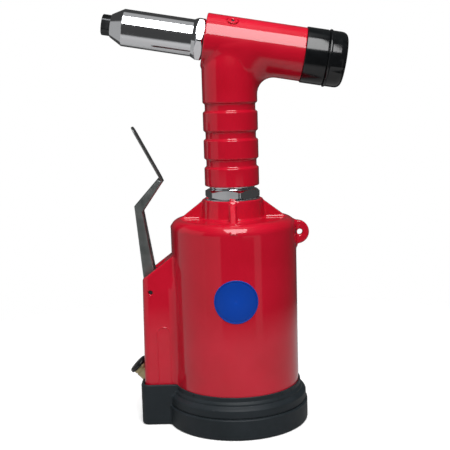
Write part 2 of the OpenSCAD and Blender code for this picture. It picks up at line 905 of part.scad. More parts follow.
air_cylinder();
end_cap();
end_cap_oring();
retaining_ring();
rubber_boot();
bottom_bumper();
top_bumper();
neck_tube();
rod_guide();
rod_seal();
gland_nut();
lock_washer();
lock_nut();
handle_head();
front_rod_seal();
nose_housing();
nose_oring();
nose_piece();
bleed_screw();
bleed_washer();
rear_cap();
rear_cap_oring();
collector_oring();
collector_cup();
return_spring();
oil_piston();
oil_piston_seal();
mandrel_tube();
jaw_case();
jaw_lock_nut();
jaw_1();
jaw_2();
jaw_3();
jaw_pusher();
jaw_spring();
air_piston();
piston_seal();
piston_rod();
piston_washer();
piston_nut();
valve_bushing();
bushing_orings();
valve_stem();
stem_orings();
valve_spring();
valve_plug();
trigger_pin();
trigger_lever();
air_inlet();
inlet_washer();
dust_cap();
exhaust_muffler();
badge();
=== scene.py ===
"""Looks of the air-hydraulic rivet gun: metres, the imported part's own frame, +Z up, nose to -X."""
import json
import math
import bmesh
import bpy
import numpy as np
from mathutils import Matrix, Vector


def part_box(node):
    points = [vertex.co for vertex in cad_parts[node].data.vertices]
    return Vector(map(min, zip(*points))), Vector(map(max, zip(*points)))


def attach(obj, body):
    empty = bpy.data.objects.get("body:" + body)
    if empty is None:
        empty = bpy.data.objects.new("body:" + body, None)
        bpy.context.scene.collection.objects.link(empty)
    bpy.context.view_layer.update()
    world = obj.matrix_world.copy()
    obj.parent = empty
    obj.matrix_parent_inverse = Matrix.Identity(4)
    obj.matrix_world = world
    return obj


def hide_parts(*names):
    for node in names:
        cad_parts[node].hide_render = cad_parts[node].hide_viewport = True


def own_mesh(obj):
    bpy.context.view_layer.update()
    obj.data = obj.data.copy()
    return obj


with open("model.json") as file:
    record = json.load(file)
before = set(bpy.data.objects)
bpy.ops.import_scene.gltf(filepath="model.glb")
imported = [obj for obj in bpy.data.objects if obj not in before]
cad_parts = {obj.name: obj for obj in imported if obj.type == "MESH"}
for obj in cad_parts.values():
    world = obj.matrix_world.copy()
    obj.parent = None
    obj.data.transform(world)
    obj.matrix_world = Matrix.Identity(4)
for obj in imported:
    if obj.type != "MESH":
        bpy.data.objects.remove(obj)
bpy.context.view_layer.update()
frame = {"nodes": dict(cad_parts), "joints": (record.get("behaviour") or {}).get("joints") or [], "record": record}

MM = 0.001
CELL = 1.0
JOINTS = {j["name"]: j for j in frame["joints"]}
MOUNTS = {m["name"]: m for m in frame["record"]["mounts"]}


# ---------------------------------------------------------------- measures taken from the frame

def top(node):
    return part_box(node)[1]


def low(node):
    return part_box(node)[0]


def placement(x_axis, y_axis, z_axis, origin):
    """The matrix that puts a piece made at the origin at its place."""
    return Matrix((
        (x_axis.x, y_axis.x, z_axis.x, origin.x),
        (x_axis.y, y_axis.y, z_axis.y, origin.y),
        (x_axis.z, y_axis.z, z_axis.z, origin.z),
        (0, 0, 0, 1),
    ))


UPRIGHT = Matrix.Identity(4)

# The head: Z runs to the rear along it, from where it crosses the tool's upright axis.
REARWARD = Vector(JOINTS["collector_pull"]["axis"]).normalized()
DOWNWARD = Vector((REARWARD.z, 0, -REARWARD.x))
NOSE_POINT = Vector(MOUNTS["stem_bore"]["pos_m"])
HEAD_ORIGIN = NOSE_POINT - REARWARD * (NOSE_POINT.x / REARWARD.x)
HEAD = placement(DOWNWARD, Vector((0, 1, 0)), REARWARD, HEAD_ORIGIN)
HEAD_R = 17.2 * MM
HEAD_FRONT = -15.6 * MM
HEAD_BACK = 48.9 * MM

# The air inlet: Z points out of it, from where its axis crosses x = INLET_X.
INLET_X = -62 * MM
INLET_OUT = Vector(JOINTS["dust_cap_pull"]["axis"]).normalized()
SOCKET_POINT = Vector(MOUNTS["air_socket"]["pos_m"])
INLET_ORIGIN = SOCKET_POINT + INLET_OUT * ((INLET_X - SOCKET_POINT.x) / INLET_OUT.x)
INLET = placement(Vector((-INLET_OUT.z, 0, INLET_OUT.x)), Vector((0, -1, 0)),
                  Vector((INLET_OUT.x, 0, INLET_OUT.z)), INLET_ORIGIN)

# The air cylinder, with its shoulder, the air chamber's ceiling, and the collar on top.
CYL_R = top("air_cylinder").y
CYL_LOW = low("air_cylinder").z
COLLAR_TOP = top("air_cylinder").z
SHOULDER = 137 * MM
CEILING = 131 * MM
BORE_R = top("end_cap").x + 0.05 * MM

# The valve housing on its left: outer face, root inside the cylinder (from the axis), half width.
HOUSING_X = low("air_cylinder").x
HOUSING_ROOT = 30 * MM
HOUSING_HALF = 12.7 * MM
VALVE_X = low("valve_bushing").x + 4.95 * MM
PIVOT = Vector(JOINTS["trigger_pull"]["pos_m"])

# The handle and the neck tube inside it.
NECK_R = 15 * MM
HANDLE_R = top("handle_head").y
HANDLE_LOW = low("handle_head").z

BADGE_CENTRE = ((low("badge").x + top("badge").x) / 2, (low("badge").z + top("badge").z) / 2)
BADGE_R = (top("badge").z - low("badge").z) / 2


# ---------------------------------------------------------------- meshes

def finish_mesh(name, points, faces, body, replaced, slot, sharp=32):
    """Makes a smooth-shaded piece from points and faces, with the look of its slot."""
    mesh = bpy.data.meshes.new(name)
    mesh.from_pydata(np.asarray(points).tolist(), [], faces)
    mesh.update()
    mesh.polygons.foreach_set("use_smooth", [True] * len(mesh.polygons))
    if sharp:
        mesh.set_sharp_from_angle(angle=math.radians(sharp))
    mesh.materials.append(LOOKS[slot])
    piece = bpy.data.objects.new(name, mesh)
    bpy.context.scene.collection.objects.link(piece)
    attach(piece, body)
    if replaced:
        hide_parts(replaced)
    return piece


def tidy(piece):
    """Joins doubled points and turns all faces outward."""
    work = bmesh.new()
    work.from_mesh(piece.data)
    bmesh.ops.remove_doubles(work, verts=work.verts, dist=1e-7)
    bmesh.ops.recalc_face_normals(work, faces=work.faces)
    work.to_mesh(piece.data)
    work.free()


def rounded(outline, steps=5):
    """An outline of (r, z, rounding) corners becomes (r, z) points, with arcs at the corners."""
    most = 0.49  # of the shorter side at the corner
    made = []
    for i, (r, z, fillet) in enumerate(outline):
        here = Vector((r, z))
        if not fillet or i in (0, len(outline) - 1):
            made.append(here)
            continue
        back = Vector(outline[i - 1][:2]) - here
        ahead = Vector(outline[i + 1][:2]) - here
        half = back.angle(ahead) / 2
        reach = min(fillet / math.tan(half), most * back.length, most * ahead.length)
        start = here + back.normalized() * reach
        end = here + ahead.normalized() * reach
        for k in range(steps + 1):
            t = k / steps
            made.append(start * (1 - t) ** 2 + here * 2 * t * (1 - t) + end * t * t)
    return [(p.x, p.y) for p in made]


def mm(*corners):
    """Outline corners in millimetres, as (r, z) or (r, z, rounding), in metres."""
    return rounded([tuple(v * MM for v in (*c, 0.0)[:3]) for c in corners])


def lathe(name, outline, place, body, replaced, slot, count=144, shape=None, sharp=32):
    """Turns (r, z) points round Z, then puts them in place. shape changes r and z by angle."""
    on_axis = 1e-7
    rings = []
    for k in range(count):
        angle = 2 * math.pi * k / count
        for r, z in outline:
            if shape:
                r, z = shape(angle, r, z)
            rings.append(place @ Vector((r * math.cos(angle), r * math.sin(angle), z)))
    n = len(outline)
    closed = outline[0][0] > on_axis
    faces = []
    for k in range(count):
        a, b = k * n, (k + 1) % count * n
        for i in range(n if closed else n - 1):
            j = (i + 1) % n
            quad = [a + i, b + i, b + j, a + j]
            if outline[i][0] < on_axis:
                quad = [a + i, b + j, a + j]
            elif outline[j][0] < on_axis:
                quad = [a + i, b + i, a + j]
            faces.append(quad)
    tidy(finish_mesh(name, rings, faces, body, replaced, slot, sharp))


def hexagon(across, low_z, high_z, turn=0.0, soft=0.35 * MM):
    """A shape for lathe(): points at the full radius follow a hexagon, chamfered at both ends."""
    flat = across / 2
    corner = across / math.sqrt(3)
    chamfer = 0.6  # height over width

    def shape(angle, r, z):
        if r < flat * 0.999:
            return r, z
        off = (angle - turn) % (math.pi / 3) - math.pi / 6
        side = flat / math.cos(off)
        side = min(side, corner - soft)
        drop = (side - flat) * chamfer
        middle = (low_z + high_z) / 2
        if r > flat * 1.0001:
            z = low_z + drop if z < middle else high_z - drop
            return side, z
        return flat, z

    return shape


# ---------------------------------------------------------------- forms from distance functions

def round_join(a, b, r):
    """Both forms together, with a hollow fillet of radius r where they meet."""
    reach = np.hypot(np.maximum(r - a, 0), np.maximum(r - b, 0))
    return np.maximum(r, np.minimum(a, b)) - reach


def round_common(a, b, r):
    """What both forms share, with its edge rounded to radius r."""
    reach = np.hypot(np.maximum(r + a, 0), np.maximum(r + b, 0))
    return np.minimum(-r, np.maximum(a, b)) + reach


def round_cut(a, b, r):
    """Form a without form b, with the edge rounded to radius r."""
    return round_common(a, -b, r)


def soft_corner(u, v, corner):
    """Distance to a rounded rectangle, given the distances past the sides of its inner one."""
    return np.hypot(np.maximum(u, 0), np.maximum(v, 0)) + np.minimum(np.maximum(u, v), 0) - corner


def over_slope(u, z, point, normal, length):
    """Distance above a sloped plane through a point; length is that of the normal."""
    return ((u - point[0]) * normal[0] + (z - point[1]) * normal[1]) / length


def frame_of(place, p):
    """Points in the coordinates of a placement."""
    inverse = np.array(place.inverted())
    return p @ inverse[:3, :3].T + inverse[:3, 3]


def tube_along(place, p, r, z0, z1):
    """A cylinder of radius r along a placement's Z, from z0 to z1."""
    q = frame_of(place, p)
    ends = np.maximum(z0 - q[:, 2], q[:, 2] - z1)
    return round_common(np.hypot(q[:, 0], q[:, 1]) - r, ends, 0.0)


def outline_distance(x, z, corners):
    """Distance to a closed outline of straight sides, negative inside it."""
    best = np.full(x.shape, 1e9)
    inside = np.zeros(x.shape, bool)
    for i in range(len(corners)):
        ax, az = corners[i - 1]
        bx, bz = corners[i]
        ex, ez = bx - ax, bz - az
        t = np.clip(((x - ax) * ex + (z - az) * ez) / (ex * ex + ez * ez), 0, 1)
        best = np.minimum(best, np.hypot(x - ax - t * ex, z - az - t * ez))
        if az != bz:
            crosses = (az > z) != (bz > z)
            inside ^= crosses & (x < ex * (z - az) / ez + ax)
    return np.where(inside, -best, best)


def gradient(field, p, step=0.02 * MM):
    """The field's slope at each point, from differences along the axes."""
    parts = []
    for axis in range(3):
        shift = np.zeros(3)
        shift[axis] = step
        parts.append((field(p + shift) - field(p - shift)) / (2 * step))
    return np.stack(parts, 1)


def surface(field, xs, ys, zs, chunk=400000):
    """Quads over the zero level of field, one point in each grid cell the surface passes."""
    n = np.array([len(xs), len(ys), len(zs)])
    grid = np.stack(np.meshgrid(xs, ys, zs, indexing="ij"), -1).reshape(-1, 3)
    chunks = [field(grid[i:i + chunk]) for i in range(0, len(grid), chunk)]
    value = np.concatenate(chunks).reshape(n)
    axes = (np.asarray(xs), np.asarray(ys), np.asarray(zs))
    cells, hits, quads = [], [], []
    for axis in range(3):
        u, v = (axis + 1) % 3, (axis + 2) % 3
        first = [slice(None)] * 3
        second = [slice(None)] * 3
        first[axis], second[axis] = slice(0, -1), slice(1, None)
        a, b = value[tuple(first)], value[tuple(second)]
        index = np.argwhere((a < 0) != (b < 0))
        keep = np.all(index[:, [u, v]] > 0, 1) & np.all(index[:, [u, v]] < n[[u, v]] - 1, 1)
        index = index[keep]
        va, vb = a[tuple(index.T)], b[tuple(index.T)]
        t = va / (va - vb)
        point = np.stack([axes[k][index[:, k]] for k in range(3)], 1)
        point[:, axis] += t * (axes[axis][index[:, axis] + 1] - axes[axis][index[:, axis]])
        around = []
        for du, dv in ((-1, -1), (0, -1), (0, 0), (-1, 0)):
            cell = index.copy()
            cell[:, u] += du
            cell[:, v] += dv
            around.append((cell[:, 0] * n[1] + cell[:, 1]) * n[2] + cell[:, 2])
            cells.append(around[-1])
            hits.append(point)
        quad = np.stack(around, 1)
        quad[vb < 0] = quad[vb < 0][:, ::-1]
        quads.append(quad)
    cells, hits, quads = np.concatenate(cells), np.concatenate(hits), np.concatenate(quads)
    used, where = np.unique(cells, return_inverse=True)
    count = np.bincount(where)
    points = np.stack([np.bincount(where, hits[:, k]) / count for k in range(3)], 1)
    quads = np.searchsorted(used, quads)
    return points, quads[:, ::-1] if signed_volume(points, quads) < 0 else quads


def signed_volume(points, quads):
    """Positive if the quads face outward; its size is not used."""
    a, b, c, d = (points[quads[:, k]] for k in range(4))
    return float((np.cross(b - a, c - a) * a).sum() + (np.cross(c - a, d - a) * a).sum())


def settle(field, points, rounds=6, reach=0.5 * MM):
    """Moves points onto the zero level of field."""
    for _ in range(rounds):
        slope = gradient(field, points)
        move = (field(points) / np.maximum((slope ** 2).sum(1), 0.05))[:, None] * slope
        size = np.linalg.norm(move, axis=1, keepdims=True)
        points = points - move * np.minimum(1, reach / np.maximum(size, 1e-12))
    return points


def spaced(start, end, cell, fine=(), fine_cell=None):
    """Grid lines from start to end, closer together between the pairs in fine."""
    lines = [start]
    while lines[-1] < end:
        here = lines[-1]
        near = any(a - cell <= here <= b for a, b in fine)
        lines.append(here + (fine_cell if near else cell))
    return np.array(lines)


def formed(name, field, grid, body, replaced, slot):
    """A piece whose surface is the zero level of field, shaded with the field's own normals."""
    xs, ys, zs = grid
    points, quads = surface(field, xs, ys, zs)
    points = settle(field, points)
    normals = gradient(field, points)
    normals /= np.maximum(np.linalg.norm(normals, axis=1, keepdims=True), 1e-9)
    piece = finish_mesh(name, points, quads.tolist(), body, replaced, slot, sharp=0)
    piece.data.normals_split_custom_set_from_vertices(normals.tolist())


# ---------------------------------------------------------------- materials

class Finish:
    """A material with one Principled shader, and short calls for the nodes that vary it."""

    def __init__(self, name, **sockets):
        self.material = bpy.data.materials.new(name)
        self.material.use_nodes = True
        self.tree = self.material.node_tree
        self.shader = self.tree.nodes["Principled BSDF"]
        for key, value in sockets.items():
            self.shader.inputs[key.replace("_", " ")].default_value = value
        self.place = self.tree.nodes.new("ShaderNodeTexCoord").outputs["Object"]

    def link(self, output, socket):
        self.tree.links.new(output, self.shader.inputs[socket])

    def node(self, kind, inputs, **settings):
        node = self.tree.nodes.new(kind)
        for key, value in settings.items():
            setattr(node, key, value)
        for key, value in inputs.items():
            socket = node.inputs[key]
            if isinstance(value, bpy.types.NodeSocket):
                self.tree.links.new(value, socket)
            else:
                socket.default_value = value
        return node

    def noise(self, size, detail=3.0, rough=0.5, stretch=(1, 1, 1), warp=0.0):
        """Noise with features about size metres wide, divided by stretch along each axis."""
        scaled = self.node("ShaderNodeMapping", {"Vector": self.place, "Scale": stretch})
        made = self.node("ShaderNodeTexNoise", {
            "Vector": scaled.outputs[0], "Scale": 1 / size, "Detail": detail,
            "Roughness": rough, "Distortion": warp,
        })
        return made.outputs["Fac"]

    def span(self, source, low_in, high_in, low_out, high_out):
        return self.node("ShaderNodeMapRange", {
            "Value": source, "From Min": low_in, "From Max": high_in,
            "To Min": low_out, "To Max": high_out,
        }).outputs["Result"]

    def maths(self, kind, a, b=0.0):
        return self.node("ShaderNodeMath", {0: a, 1: b}, operation=kind).outputs[0]

    def blend(self, factor, a, b):
        mix = self.node("ShaderNodeMix", {0: factor, 6: a, 7: b}, data_type="RGBA")
        return mix.outputs[2]

    def mottle(self, source, a, b):
        """Patches of two colours that follow a noise."""
        return self.blend(self.span(source, 0.3, 0.7, 0.0, 1.0), a, b)

    def edges(self, start, full, amount):
        """From 0 on flat places to amount on sharp edges."""
        pointiness = self.node("ShaderNodeNewGeometry", {}).outputs["Pointiness"]
        return self.span(pointiness, start, full, 0.0, amount)

    def roughness(self, source, smooth, rough):
        self.link(self.span(source, 0.2, 0.8, smooth, rough), "Roughness")

    def bump(self, *heights):
        """Bumps from (height, depth in metres) pairs, one after another."""
        normal = None
        for height, depth in heights:
            inputs = {"Height": height, "Strength": 1.0, "Distance": depth}
            if normal is not None:
                inputs["Normal"] = normal
            normal = self.node("ShaderNodeBump", inputs).outputs["Normal"]
        self.link(normal, "Normal")


def red_paint():
    f = Finish("red_paint", Metallic=0.0, Coat_Weight=1.0, Coat_Roughness=0.03, Coat_IOR=1.5,
               Specular_IOR_Level=0.1)
    broad = f.noise(0.03, 2.0)
    fine = f.noise(0.0016, 2.0)
    specks = f.span(f.noise(0.0007, 1.0), 0.70, 0.78, 0.0, 1.0)
    hue = f.mottle(broad, (0.52, 0.003, 0.018, 1), (0.60, 0.005, 0.026, 1))
    hue = f.blend(f.maths("MULTIPLY", specks, 0.25), hue, (0.36, 0.002, 0.012, 1))
    f.link(f.blend(f.edges(0.56, 0.66, 0.5), hue, (0.72, 0.03, 0.06, 1)), "Base Color")
    f.roughness(broad, 0.28, 0.40)
    f.bump((fine, 0.008 * MM), (f.noise(0.006, 1.0), 0.04 * MM))
    return f.material


def boot_rubber():
    f = Finish("boot_rubber", Metallic=0.0, Specular_IOR_Level=0.25)
    grain = f.noise(0.0006, 3.0, 0.6)
    cloud = f.noise(0.02, 4.0, 0.6)
    scuffs = f.span(f.noise(0.004, 4.0, 0.7, stretch=(1, 1, 5)), 0.62, 0.72, 0.0, 0.5)
    edge = f.maths("MULTIPLY", f.edges(0.53, 0.62, 1.0), 0.6)
    hue = f.mottle(cloud, (0.012, 0.017, 0.020, 1), (0.019, 0.025, 0.030, 1))
    hue = f.blend(scuffs, hue, (0.032, 0.038, 0.043, 1))
    f.link(f.blend(edge, hue, (0.036, 0.043, 0.048, 1)), "Base Color")
    f.roughness(cloud, 0.42, 0.60)
    f.bump((grain, 0.04 * MM), (cloud, 0.15 * MM))
    return f.material


def chrome():
    f = Finish("chrome", Metallic=1.0, Base_Color=(0.82, 0.83, 0.85, 1))
    lines = f.noise(0.0009, 3.0, 0.6, stretch=(0.05, 0.05, 1))
    haze = f.noise(0.012, 3.0)
    marks = f.span(f.noise(0.003, 5.0, 0.7, warp=1.5), 0.60, 0.70, 0.0, 0.06)
    f.link(f.maths("ADD", f.span(haze, 0.3, 0.7, 0.05, 0.11), marks), "Roughness")
    f.bump((lines, 0.002 * MM))
    return f.material


def steel(name, dark, bright, rough):
    """A brushed metal between two colours, brighter on its edges."""
    f = Finish(name, Metallic=1.0)
    lines = f.noise(0.0008, 4.0, 0.6, stretch=(1, 1, 0.08))
    cloud = f.noise(0.008, 4.0, 0.6)
    edge = f.maths("MULTIPLY", f.edges(0.54, 0.68, 1.0), 0.5)
    worn = tuple(min(1, 1.8 * c + 0.03) for c in bright)
    hue = f.mottle(cloud, (*dark, 1), (*bright, 1))
    f.link(f.blend(edge, hue, (*worn, 1)), "Base Color")
    f.roughness(cloud, rough - 0.08, rough + 0.08)
    f.bump((lines, 0.01 * MM))
    return f.material


def black_plastic():
    f = Finish("black_cap", Metallic=0.0, Specular_IOR_Level=0.5)
    cloud = f.noise(0.006, 4.0, 0.6)
    dust = f.span(f.noise(0.0009, 4.0, 0.7), 0.68, 0.76, 0.0, 0.3)
    hue = f.mottle(cloud, (0.003, 0.0035, 0.004, 1), (0.006, 0.007, 0.008, 1))
    f.link(f.blend(dust, hue, (0.03, 0.032, 0.035, 1)), "Base Color")
    f.roughness(cloud, 0.10, 0.17)
    f.bump((f.noise(0.0012, 2.0), 0.008 * MM))
    return f.material


def seal_rubber():
    f = Finish("seal_rubber", Metallic=0.0)
    cloud = f.noise(0.002, 3.0)
    f.link(f.blend(cloud, (0.012, 0.012, 0.013, 1), (0.03, 0.03, 0.032, 1)), "Base Color")
    f.roughness(cloud, 0.4, 0.6)
    f.bump((f.noise(0.0005, 2.0), 0.01 * MM))
    return f.material


def badge_blue(centre, radius):
    """A plain blue, a little darker towards the badge's rim."""
    f = Finish("badge_blue", Metallic=0.0, Specular_IOR_Level=0.2)
    parts = f.node("ShaderNodeSeparateXYZ", {"Vector": f.place})
    dx = f.maths("SUBTRACT", parts.outputs["X"], centre[0])
    dz = f.maths("SUBTRACT", parts.outputs["Z"], centre[1])
    square = f.maths("ADD", f.maths("MULTIPLY", dx, dx), f.maths("MULTIPLY", dz, dz))
    shade = f.span(f.maths("SQRT", square), 0.0, radius, 0.0, 1.0)
    cloud = f.noise(0.004, 2.0)
    hue = f.blend(shade, (0.003, 0.060, 0.44, 1), (0.002, 0.046, 0.34, 1))
    hue = f.blend(f.maths("MULTIPLY", cloud, 0.15), hue, (0.008, 0.08, 0.42, 1))
    f.link(hue, "Base Color")
    f.roughness(cloud, 0.30, 0.40)
    return f.material


def sintered_brass():
    """The exhaust muffler's grains."""
    f = Finish("sintered_brass", Metallic=0.7)
    grains = f.noise(0.0007, 2.0)
    f.link(f.blend(grains, (0.16, 0.12, 0.06, 1), (0.62, 0.5, 0.3, 1)), "Base Color")
    f.link(f.span(grains, 0.3, 0.7, 0.7, 0.4), "Roughness")
    f.bump((grains, 0.25 * MM))
    return f.material


LOOKS = {
    "red_paint": red_paint(),
    "boot_rubber": boot_rubber(),
    "seal_rubber": seal_rubber(),
    "black_cap": black_plastic(),
    "black_steel": steel("black_steel", (0.035, 0.036, 0.038), (0.06, 0.062, 0.065), 0.38),
    "trigger_steel": steel("trigger_steel", (0.20, 0.22, 0.215), (0.27, 0.29, 0.285), 0.46),
    "chrome": chrome(),
    "steel": steel("steel", (0.40, 0.41, 0.43), (0.52, 0.53, 0.55), 0.30),
    "aluminium": steel("aluminium", (0.62, 0.62, 0.64), (0.72, 0.72, 0.74), 0.34),
    "brass": steel("brass", (0.42, 0.34, 0.18), (0.54, 0.45, 0.26), 0.34),
    "badge_blue": badge_blue(BADGE_CENTRE, BADGE_R),
}


def dress_cad_nodes():
    """Gives the CAD pieces their looks; the muffler is brass by slot, with a grainy look."""
    for part in frame["record"]["subparts"]:
        mesh = frame["nodes"][part["node"]].data
        mesh.materials.clear()
        mesh.materials.append(LOOKS[part["material_slot"]])
        mesh.set_sharp_from_angle(angle=math.radians(30))
    frame["nodes"]["exhaust_muffler"].data.materials[0] = sintered_brass()


dress_cad_nodes()


# ---------------------------------------------------------------- air cylinder casting

# Pockets along the inlet's axis: radius, start, end and edge rounding in millimetres.
INLET_POCKETS = (
    (6.1, -3.5, 12, 0.4),
    (7.3, 5.1, 14, 0.4),
    (5.25, -8.4, 0, 0.1),
    (4, -15, 0, 0.1),
)


def air_cylinder_field(p):
    x, y, z = p[:, 0], p[:, 1], p[:, 2]
    r = np.hypot(x, y)
    form = round_common(r - CYL_R, z - SHOULDER, 6.5 * MM)
    form = round_common(form, CYL_LOW - z, 0.4 * MM)
    form = round_join(form, collar_field(r, z), 1.6 * MM)
    for out, across in ((np.abs(x), np.abs(y)), (np.abs(y), np.abs(x))):
        form = round_join(form, rib_field(out, across, z), 1.1 * MM)
    form = round_join(form, lug_field(x, y, z), 1.8 * MM)
    # the fillet beside the housing is wider below its sloped top
    below_top = np.clip((100 * MM - z) / (8 * MM), 0, 1)
    form = round_join(form, housing_field(x, y, z), (1.5 + 3.5 * below_top) * MM)
    form = round_cut(form, np.maximum(r - BORE_R, z - CEILING), 0.3 * MM)
    neck_hole = np.maximum(r - NECK_R - 0.05 * MM, CEILING - 1 * MM - z)
    form = round_cut(form, neck_hole, 0.3 * MM)
    form = round_cut(form, trigger_slot_field(x, y, z), 0.6 * MM)
    form = round_cut(form, valve_bore_field(x, y, z), 0.2 * MM)
    pin_hole = np.hypot(x - PIVOT.x, z - PIVOT.z) - 1.4 * MM
    form = round_cut(form, pin_hole, 0.25 * MM)
    for radius, start, end, edge in INLET_POCKETS:
        pocket = tube_along(INLET, p, radius * MM, start * MM, end * MM)
        form = round_cut(form, pocket, edge * MM)
    exhaust = np.maximum(np.hypot(x - VALVE_X, z - 52 * MM) - 4.6 * MM, 3 * MM - y)
    return round_cut(form, exhaust, 0.3 * MM)


def collar_field(r, z):
    """The slightly tapered collar on the shoulder."""
    radius, taper = 20.8 * MM, 0.08
    collar = (r - radius + (z - SHOULDER) * taper) / math.hypot(1, taper)
    collar = round_common(collar, z - COLLAR_TOP, 0.7 * MM)
    return np.maximum(collar, CEILING - z)


def rib_field(out, across, z):
    """A rib from the collar down to the shoulder; out runs from the axis, across it sideways."""
    half, foot = 2 * MM, 132 * MM
    slope = over_slope(out, z, (19.7 * MM, 148.7 * MM), (11.7, 15.3), 19.26)
    return np.maximum(round_common(across - half, slope, 0.7 * MM), foot - z)


def trigger_slot_field(x, y, z):
    """The slot that the trigger swings in."""
    inner, half, floor = 46.5 * MM, 6.4 * MM, 81 * MM
    return np.maximum(np.maximum(x + inner, np.abs(y) - half), floor - z)


def valve_bore_field(x, y, z):
    """The bore of the valve bushing, and the narrow one of its stem above it."""
    away = np.hypot(x - VALVE_X, y)
    wide = np.maximum(away - 5 * MM, z - 78 * MM)
    narrow = np.maximum(away - 2.6 * MM, z - 82 * MM)
    return np.minimum(wide, narrow)


def lug_field(x, y, z):
    """The hanging lug: a disc that runs down into the cylinder's wall, with its hole."""
    cx, cz, radius = 42.2 * MM, 126.2 * MM, 7.9 * MM
    half, inner, hole_x, hole_r = 2.25 * MM, 38 * MM, 43.8 * MM, 2 * MM
    disc = np.hypot(x - cx, z - cz) - radius
    under = (x - cx) * 0.5 - (z - cz) * 0.866 - radius
    root = np.maximum(np.maximum(under, z - cz - radius), x - cx)
    lug = round_common(np.minimum(disc, root), np.abs(y) - half, 0.9 * MM)
    lug = np.maximum(lug, inner - x)
    hole = np.hypot(x - hole_x, z - cz) - hole_r
    return round_cut(lug, hole, 0.5 * MM)


def housing_plan(x, past_side, left, corner):
    """The housing's plan: a rounded rectangle that runs from left into the cylinder."""
    middle, half_x = (left - HOUSING_ROOT) / 2, (-HOUSING_ROOT - left) / 2
    return soft_corner(np.abs(x - middle) - half_x + corner, past_side + corner, corner)


def housing_field(x, y, z):
    """The valve housing, with a draft on its outer face and a sloped top."""
    draft, draft_from = 0.018, 30 * MM
    left = HOUSING_X + np.maximum(z - draft_from, 0) * draft
    plan = housing_plan(x, np.abs(y) - HOUSING_HALF, left, 4.5 * MM)
    slope = over_slope(x, z, (-62 * MM, 97.6 * MM), (-15.4, 20.6), 25.72)
    crown = round_common(slope, z - 115 * MM, 3 * MM)
    housing = round_common(plan, crown, 0.9 * MM)
    return round_common(housing, CYL_LOW - z, 0.4 * MM)


def make_air_cylinder():
    cell = CELL * 0.95 * MM
    grid = (
        spaced(HOUSING_X - 3 * MM, 54 * MM, cell),
        spaced(-CYL_R - 2 * MM, CYL_R + 3 * MM, cell),
        spaced(CYL_LOW - 2 * MM, COLLAR_TOP + 2 * MM, cell),
    )
    formed("air_cylinder_casting", air_cylinder_field, grid, "frame", "air_cylinder", "red_paint")


# ---------------------------------------------------------------- handle and head casting

def grip_field(x, r, z):
    """The grip with its three finger grooves; its top end is inside the head."""
    first, pitch, count = 173.3, 18, 3
    groove_half, groove_depth, groove_corner = 1.5 * MM, 4.2 * MM, 1.2 * MM
    narrowing, front_drop = 1.3 * MM, 8 * MM
    rise = np.clip((z - HEAD_ORIGIN.z + 17 * MM) / (14 * MM), 0, 1)
    narrowed = HANDLE_R - narrowing * rise * rise * (3 - 2 * rise)
    forward = np.clip((-x - 5 * MM) / (10 * MM), 0, 1)
    grip = round_common(r - narrowed, z - HEAD_ORIGIN.z + front_drop * forward, 4 * MM)
    for k in range(count):
        centre = (first + pitch * k) * MM
        past_r = np.abs(r - HANDLE_R - 4 * MM) - groove_depth
        groove = soft_corner(past_r, np.abs(z - centre) - groove_half, groove_corner)
        grip = round_cut(grip, groove, 0.9 * MM)
    return round_common(grip, HANDLE_LOW - z, 0.8 * MM)


def handle_field(p):
    x, y, z = p[:, 0], p[:, 1], p[:, 2]
    r = np.hypot(x, y)
    q = frame_of(HEAD, p)
    s, h = q[:, 2], np.hypot(q[:, 0], q[:, 1])
    head = round_common(h - HEAD_R, s - HEAD_BACK, 0.4 * MM)
    head = round_common(head, HEAD_FRONT - s, 0.9 * MM)
    # the fillet between grip and head is wide at the rear and narrow at the front
    rearness = np.clip(x / np.maximum(r, 1e-6), 0, 1)
    form = round_join(head, grip_field(x, r, z), (2 + 10.5 * rearness ** 2) * MM)
    spot = bleed_place()
    spot_face = tube_along(spot, p, 3.8 * MM, HEAD_R - 1 * MM, HEAD_R + 9 * MM)
    form = round_cut(form, spot_face, 0.3 * MM)
    form = round_cut(form, tube_along(spot, p, 2.5 * MM, 11.5 * MM, HEAD_R), 0.1 * MM)
    nose_thread = np.maximum(h - 11.05 * MM, s + 9.6 * MM)
    form = round_cut(form, nose_thread, 0.3 * MM)
    rod_hole = np.maximum(h - 8.05 * MM, np.abs(s) - 12 * MM)
    form = round_cut(form, rod_hole, 0.1 * MM)
    oil_bore = np.maximum(h - 14 * MM, -1 * MM - s)
    form = round_cut(form, oil_bore, 0.3 * MM)
    neck_bore = np.maximum(r - NECK_R - 0.05 * MM, z - 176 * MM)
    form = round_cut(form, neck_bore, 0.5 * MM)
    oil_duct = np.maximum(r - 8 * MM, z - 226 * MM)
    return round_cut(form, oil_duct, 0.2 * MM)


def bleed_place():
    """Where the oil screw stands: its Z points out of the head, up and to the badge's side."""
    up = math.radians(54.5)
    out = Vector((0, -math.cos(up), 0)) - DOWNWARD * math.sin(up)
    side = REARWARD.cross(out)
    foot = HEAD_ORIGIN + REARWARD * 0.9 * MM
    return placement(REARWARD, side, out, foot)


def make_handle():
    cell = CELL * 0.6 * MM
    grid = (
        spaced(low("handle_head").x - 2 * MM, top("handle_head").x + 2 * MM, cell),
        spaced(-HANDLE_R - 2 * MM, HANDLE_R + 2 * MM, cell),
        spaced(HANDLE_LOW - 2 * MM, top("handle_head").z + 2 * MM, cell),
    )
    formed("handle_and_head_casting", handle_field, grid, "frame", "handle_head", "red_paint")


